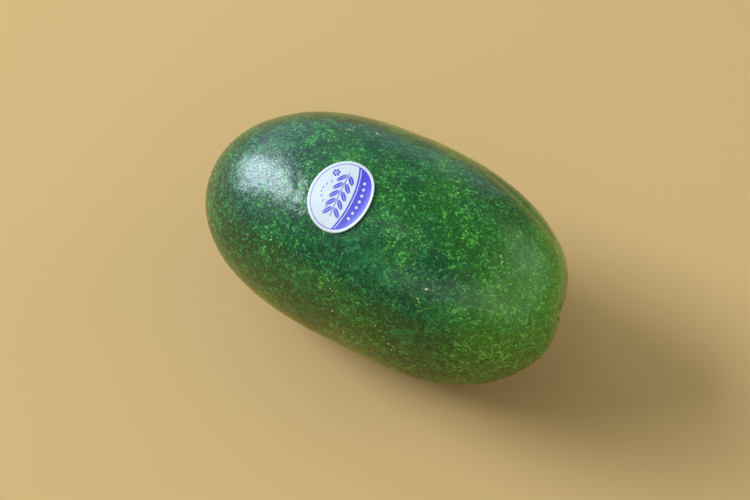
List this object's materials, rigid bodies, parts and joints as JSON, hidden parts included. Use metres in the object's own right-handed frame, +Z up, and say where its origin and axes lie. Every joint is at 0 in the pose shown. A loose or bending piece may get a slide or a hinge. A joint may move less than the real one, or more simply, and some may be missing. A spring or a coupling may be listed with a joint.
{
  "type": "winter melon",
  "caption": "Small oblong winter melon lying on its side, with a cut stalk, a corky blossom scar, low ribs and a plain oval paper label.",
  "frame": {"origin": "middle of the flat spot that the fruit lies on, at the height of the ground", "axes": "+X along the fruit to its blossom end, +Z up, and the label on the upper side towards -Y"},
  "size_m": [0.2399, 0.1353, 0.1365],
  "materials": {
    "skin": "satin waxy fruit skin, dark green with fine light green mottling and small pale dots",
    "stalk": "dry, ridged stalk with a rough cut face",
    "paper": null
  },
  "bodies": {
    "root": {"melon": "skin", "stem_stub": "stalk", "label": "paper"}
  },
  "joints": []
}
